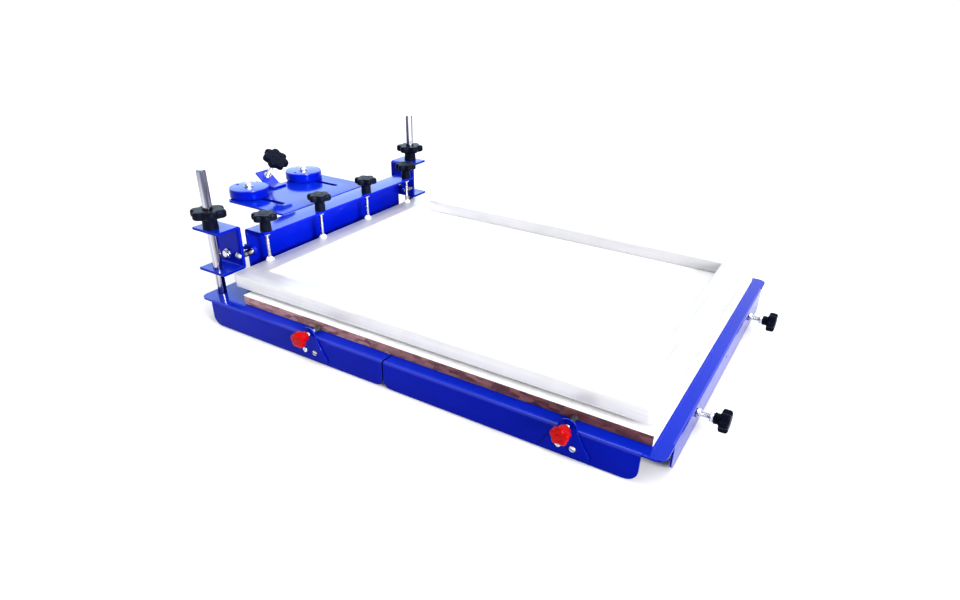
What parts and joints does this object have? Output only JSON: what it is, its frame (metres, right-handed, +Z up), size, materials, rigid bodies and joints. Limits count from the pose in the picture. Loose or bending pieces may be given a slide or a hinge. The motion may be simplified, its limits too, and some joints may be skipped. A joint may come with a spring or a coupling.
{
  "type": "screen printing press",
  "caption": "Tabletop screen printing press: board with fine registration, hinged and height-adjustable screen clamp with counterweights, aluminium screen with stretched mesh.",
  "frame": {"origin": "centre of the bounding box, on the table under the feet", "axes": "+Y from the operator to the hinge, +Z up, +X to the operator's right"},
  "size_m": [0.5078, 0.8034, 0.2035],
  "materials": {
    "blue_paint": "gloss",
    "bright_steel": "zinc plated",
    "black_plastic": "semi-gloss",
    "red_plastic": "semi-gloss",
    "white_laminate": "satin",
    "chrome": "polished",
    "frame_aluminium": "satin",
    "mesh_cloth": "woven polyester",
    "white_nylon": "matt",
    "foot_rubber": "matt"
  },
  "bodies": {
    "base": {"base_front_panel": "blue_paint", "base_rear_panel": "blue_paint", "base_joining_plate": "blue_paint", "foot_front_left": "foot_rubber", "foot_front_right": "foot_rubber", "foot_rear_left": "foot_rubber", "foot_rear_right": "foot_rubber", "carriage_keeper_left": "bright_steel", "carriage_keeper_right": "bright_steel", "red_plate_rear": "blue_paint", "red_plate_front": "blue_paint", "post_left": "chrome", "post_right": "chrome", "post_nut_left": "bright_steel", "post_nut_right": "bright_steel"},
    "carriage": {"board_carriage": "bright_steel"},
    "board": {"board": "white_laminate"},
    "front_screw_left": {"front_screw_left": "bright_steel"},
    "front_screw_right": {"front_screw_right": "bright_steel"},
    "front_knob_left": {"front_knob_left": "black_plastic"},
    "front_knob_right": {"front_knob_right": "black_plastic"},
    "red_screw_rear": {"red_screw_rear": "bright_steel"},
    "red_screw_front": {"red_screw_front": "bright_steel"},
    "red_knob_rear": {"red_knob_rear": "red_plastic"},
    "red_knob_front": {"red_knob_front": "red_plastic"},
    "lift_left": {"lift_bracket_left": "blue_paint", "post_ring_left": "bright_steel", "pivot_bolt_left": "bright_steel", "stop_bolt_left": "bright_steel"},
    "lift_right": {"lift_bracket_right": "blue_paint", "post_ring_right": "bright_steel", "pivot_bolt_right": "bright_steel", "stop_bolt_right": "bright_steel"},
    "post_knob_left": {"post_knob_left": "black_plastic"},
    "post_knob_right": {"post_knob_right": "black_plastic"},
    "clamp": {"clamp_beam": "blue_paint", "weight_plate": "blue_paint", "tilt_bracket": "blue_paint", "tilt_nut": "bright_steel"},
    "screen": {"screen_frame": "frame_aluminium", "screen_mesh": "mesh_cloth"},
    "weight_left": {"weight_left": "blue_paint", "weight_bolt_left": "bright_steel"},
    "weight_right": {"weight_right": "blue_paint", "weight_bolt_right": "bright_steel"},
    "tilt_screw": {"tilt_screw": "bright_steel"},
    "tilt_knob": {"tilt_knob": "black_plastic"},
    "clamp_screw_1": {"clamp_screw_1": "bright_steel", "clamp_foot_1": "white_nylon"},
    "clamp_knob_1": {"clamp_knob_1": "black_plastic"},
    "clamp_screw_2": {"clamp_screw_2": "bright_steel", "clamp_foot_2": "white_nylon"},
    "clamp_knob_2": {"clamp_knob_2": "black_plastic"},
    "clamp_screw_3": {"clamp_screw_3": "bright_steel", "clamp_foot_3": "white_nylon"},
    "clamp_knob_3": {"clamp_knob_3": "black_plastic"},
    "clamp_screw_4": {"clamp_screw_4": "bright_steel", "clamp_foot_4": "white_nylon"},
    "clamp_knob_4": {"clamp_knob_4": "black_plastic"}
  },
  "joints": [
    {"name": "carriage_y", "type": "slide", "parent": "base", "child": "carriage", "axis": [0, 1, 0], "range_m": [-0.008, 0.008]},
    {"name": "board_x", "type": "slide", "parent": "carriage", "child": "board", "axis": [1, 0, 0], "range_m": [-0.005, 0.005]},
    {"name": "front_screw_left_slide", "type": "slide", "parent": "base", "child": "front_screw_left", "axis": [0, 1, 0], "range_m": [-0.008, 0.008]},
    {"name": "front_knob_left_spin", "type": "hinge", "parent": "front_screw_left", "child": "front_knob_left", "pos_m": [-0.1185, -0.3853, 0.025], "axis": [0, 1, 0], "range_deg": [-2885, 2885]},
    {"name": "front_screw_right_slide", "type": "slide", "parent": "base", "child": "front_screw_right", "axis": [0, 1, 0], "range_m": [-0.008, 0.008]},
    {"name": "front_knob_right_spin", "type": "hinge", "parent": "front_screw_right", "child": "front_knob_right", "pos_m": [0.1415, -0.3853, 0.025], "axis": [0, 1, 0], "range_deg": [-2885, 2885]},
    {"name": "red_screw_rear_slide", "type": "slide", "parent": "base", "child": "red_screw_rear", "axis": [1, 0, 0], "range_m": [-0.005, 0.005]},
    {"name": "red_knob_rear_spin", "type": "hinge", "parent": "red_screw_rear", "child": "red_knob_rear", "pos_m": [-0.2385, 0.0694, 0.0391], "axis": [1, 0, 0], "range_deg": [-2255, 2255]},
    {"name": "red_screw_front_slide", "type": "slide", "parent": "base", "child": "red_screw_front", "axis": [1, 0, 0], "range_m": [-0.005, 0.005]},
    {"name": "red_knob_front_spin", "type": "hinge", "parent": "red_screw_front", "child": "red_knob_front", "pos_m": [-0.2385, -0.2701, 0.0391], "axis": [1, 0, 0], "range_deg": [-2255, 2255]},
    {"name": "lift", "type": "slide", "parent": "base", "child": "lift_left", "axis": [0, 0, 1], "range_m": [-0.0035, 0.045]},
    {"name": "lift_right_slide", "type": "slide", "parent": "base", "child": "lift_right", "axis": [0, 0, 1], "range_m": [-0.0035, 0.045]},
    {"name": "post_knob_left_spin", "type": "hinge", "parent": "lift_left", "child": "post_knob_left", "pos_m": [-0.2055, 0.2548, 0.1278], "axis": [0, 0, 1], "range_deg": [-425, 5405]},
    {"name": "post_knob_right_spin", "type": "hinge", "parent": "lift_right", "child": "post_knob_right", "pos_m": [0.2285, 0.2548, 0.1278], "axis": [0, 0, 1], "range_deg": [-425, 5405]},
    {"name": "screen_hinge", "type": "hinge", "parent": "lift_left", "child": "clamp", "pos_m": [0.0115, 0.2359, 0.0855], "axis": [-1, 0, 0], "range_deg": [0, 37.5]},
    {"name": "screen_slide", "type": "slide", "parent": "clamp", "child": "screen", "axis": [0, -1, 0], "range_m": [0, 0.05]},
    {"name": "weight_left_slide", "type": "slide", "parent": "clamp", "child": "weight_left", "axis": [0, -1, 0], "range_m": [-0.003, 0.067]},
    {"name": "weight_right_slide", "type": "slide", "parent": "clamp", "child": "weight_right", "axis": [0, -1, 0], "range_m": [-0.003, 0.067]},
    {"name": "tilt_screw_slide", "type": "slide", "parent": "clamp", "child": "tilt_screw", "axis": [0, -0.6211, 0.7837], "range_m": [-0.01, 0.012]},
    {"name": "tilt_knob_spin", "type": "hinge", "parent": "tilt_screw", "child": "tilt_knob", "pos_m": [0.0115, 0.36652, 0.14778], "axis": [0, -0.6211, 0.7837], "range_deg": [-3605, 4325]},
    {"name": "clamp_screw_1_slide", "type": "slide", "parent": "clamp", "child": "clamp_screw_1", "axis": [0, 0, 1], "range_m": [0, 0.012]},
    {"name": "clamp_knob_1_spin", "type": "hinge", "parent": "clamp_screw_1", "child": "clamp_knob_1", "pos_m": [-0.146, 0.2204, 0.1139], "axis": [0, 0, 1], "range_deg": [-5, 5405]},
    {"name": "clamp_screw_2_slide", "type": "slide", "parent": "clamp", "child": "clamp_screw_2", "axis": [0, 0, 1], "range_m": [0, 0.012]},
    {"name": "clamp_knob_2_spin", "type": "hinge", "parent": "clamp_screw_2", "child": "clamp_knob_2", "pos_m": [-0.041, 0.2204, 0.1139], "axis": [0, 0, 1], "range_deg": [-5, 5405]},
    {"name": "clamp_screw_3_slide", "type": "slide", "parent": "clamp", "child": "clamp_screw_3", "axis": [0, 0, 1], "range_m": [0, 0.012]},
    {"name": "clamp_knob_3_spin", "type": "hinge", "parent": "clamp_screw_3", "child": "clamp_knob_3", "pos_m": [0.064, 0.2204, 0.1139], "axis": [0, 0, 1], "range_deg": [-5, 5405]},
    {"name": "clamp_screw_4_slide", "type": "slide", "parent": "clamp", "child": "clamp_screw_4", "axis": [0, 0, 1], "range_m": [0, 0.012]},
    {"name": "clamp_knob_4_spin", "type": "hinge", "parent": "clamp_screw_4", "child": "clamp_knob_4", "pos_m": [0.169, 0.2204, 0.1139], "axis": [0, 0, 1], "range_deg": [-5, 5405]}
  ],
  "couplings": [
    {"joint": "front_screw_left_slide", "follows": "carriage_y", "ratio": 1},
    {"joint": "front_knob_left_spin", "follows": "carriage_y", "rad_per_m": 6283.2},
    {"joint": "front_screw_right_slide", "follows": "carriage_y", "ratio": 1},
    {"joint": "front_knob_right_spin", "follows": "carriage_y", "rad_per_m": 6283.2},
    {"joint": "red_screw_rear_slide", "follows": "board_x", "ratio": 1},
    {"joint": "red_knob_rear_spin", "follows": "board_x", "rad_per_m": 7854},
    {"joint": "red_screw_front_slide", "follows": "board_x", "ratio": 1},
    {"joint": "red_knob_front_spin", "follows": "board_x", "rad_per_m": 7854},
    {"joint": "lift_right_slide", "follows": "lift", "ratio": 1},
    {"joint": "post_knob_left_spin", "follows": "lift", "rad_per_m": 2094.4},
    {"joint": "post_knob_right_spin", "follows": "lift", "rad_per_m": 2094.4},
    {"joint": "tilt_knob_spin", "follows": "tilt_screw_slide", "rad_per_m": 6283.2},
    {"joint": "clamp_knob_1_spin", "follows": "clamp_screw_1_slide", "rad_per_m": 7854},
    {"joint": "clamp_knob_2_spin", "follows": "clamp_screw_2_slide", "rad_per_m": 7854},
    {"joint": "clamp_knob_3_spin", "follows": "clamp_screw_3_slide", "rad_per_m": 7854},
    {"joint": "clamp_knob_4_spin", "follows": "clamp_screw_4_slide", "rad_per_m": 7854}
  ]
}
